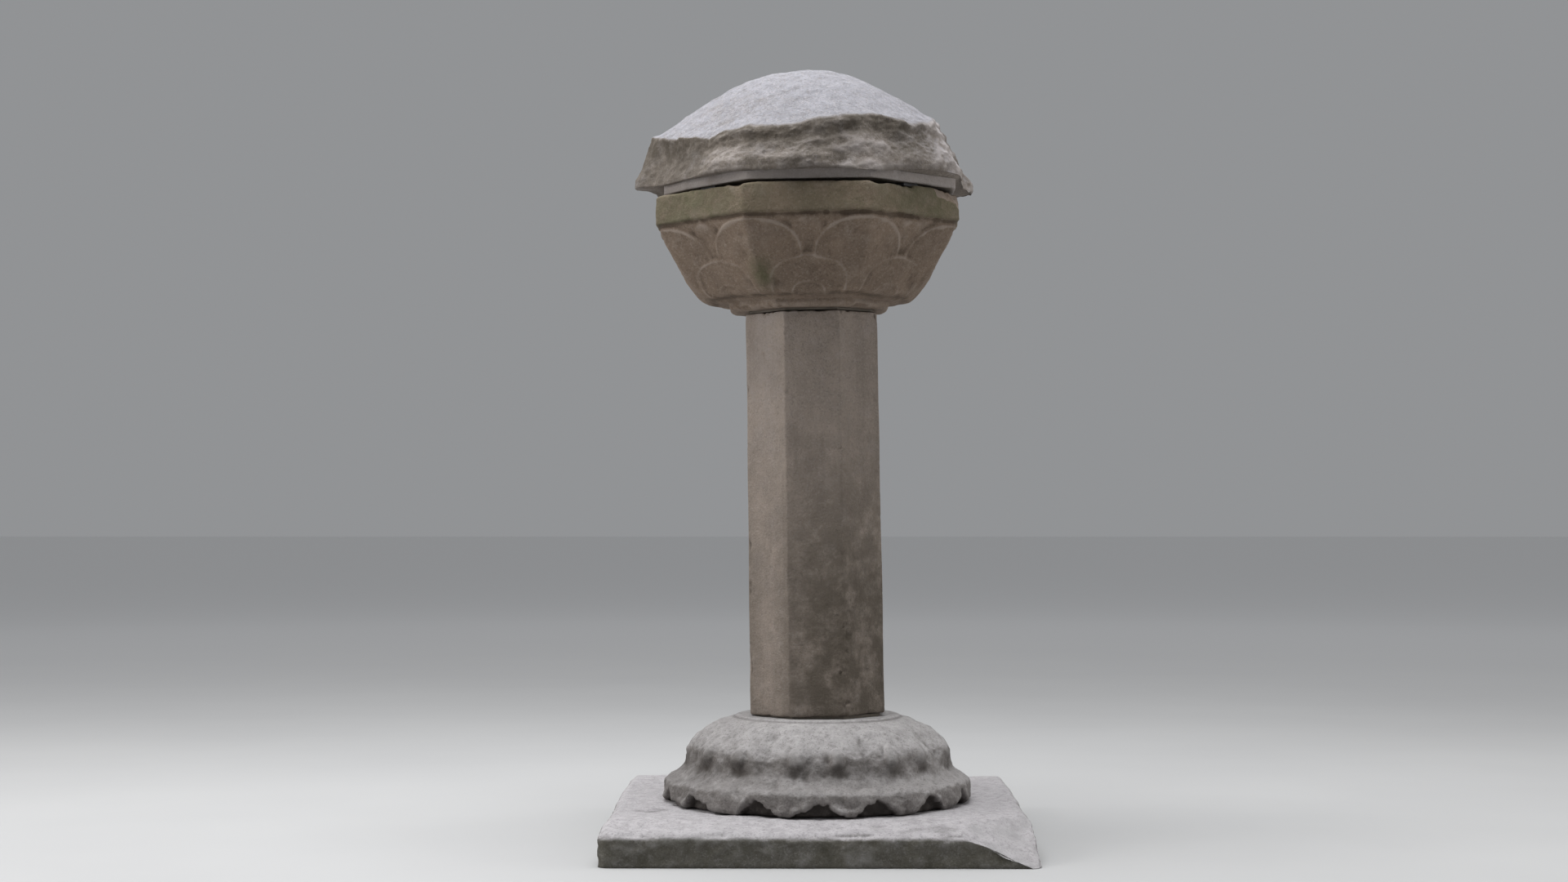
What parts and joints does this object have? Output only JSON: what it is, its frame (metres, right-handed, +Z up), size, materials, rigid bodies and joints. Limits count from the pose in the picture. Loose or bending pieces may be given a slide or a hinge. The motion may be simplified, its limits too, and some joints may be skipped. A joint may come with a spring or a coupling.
{
  "type": "baptismal font",
  "caption": "Octagonal stone font: petal-carved bowl with a drained lead-lined basin under a lift-off domed cover, on a tall eight-sided shaft and a round base on a square slab.",
  "frame": {"origin": "on the ground at the middle of the square slab's underside", "axes": "+Z up, the shaft's front flat faces -Y, +X to the right seen from the front"},
  "size_m": [0.686, 0.686, 1.3022],
  "materials": {
    "slab_granite": "rough weathered pale granite",
    "base_granite": "carved granite, worn and lichened",
    "shaft_granite": "dressed granite, finely pitted",
    "bowl_granite": "carved brownish granite with a green tinge on the rim",
    "cover_granite": "pale weathered top, rough brown-grey broken edges",
    "mortar": "old lime mortar",
    "lead": "dull oxidised lead",
    "bronze": "browned cast bronze"
  },
  "bodies": {
    "font": {"ground_slab": "slab_granite", "slab_bed": "mortar", "slab_dowel_1": "bronze", "slab_dowel_2": "bronze", "lotus_base": "base_granite", "shaft_foot_bed": "mortar", "foot_dowel_1": "bronze", "foot_dowel_2": "bronze", "shaft": "shaft_granite", "shaft_head_bed": "mortar", "head_dowel_1": "bronze", "head_dowel_2": "bronze", "bowl": "bowl_granite", "basin_liner": "lead", "waste_outlet": "bronze", "waste_pipe": "lead", "cover_pad_1": "lead", "cover_pad_2": "lead", "cover_pad_3": "lead", "cover_pad_4": "lead"},
    "cover": {"cover_stone": "cover_granite"},
    "plug": {"waste_plug": "bronze"},
    "plug_ring": {"plug_ring": "bronze"}
  },
  "joints": [
    {"name": "cover_lift", "type": "slide", "parent": "font", "child": "cover", "axis": [-0.0157, 0, 0.9999], "range_m": [0, 0.3]},
    {"name": "plug_lift", "type": "slide", "parent": "font", "child": "plug", "axis": [-0.0157, 0, 0.9999], "range_m": [0, 0.075]},
    {"name": "ring_swing", "type": "hinge", "parent": "plug", "child": "plug_ring", "pos_m": [-0.01189, 0, 0.96481], "axis": [0, -1, 0], "range_deg": [0, 235]}
  ]
}
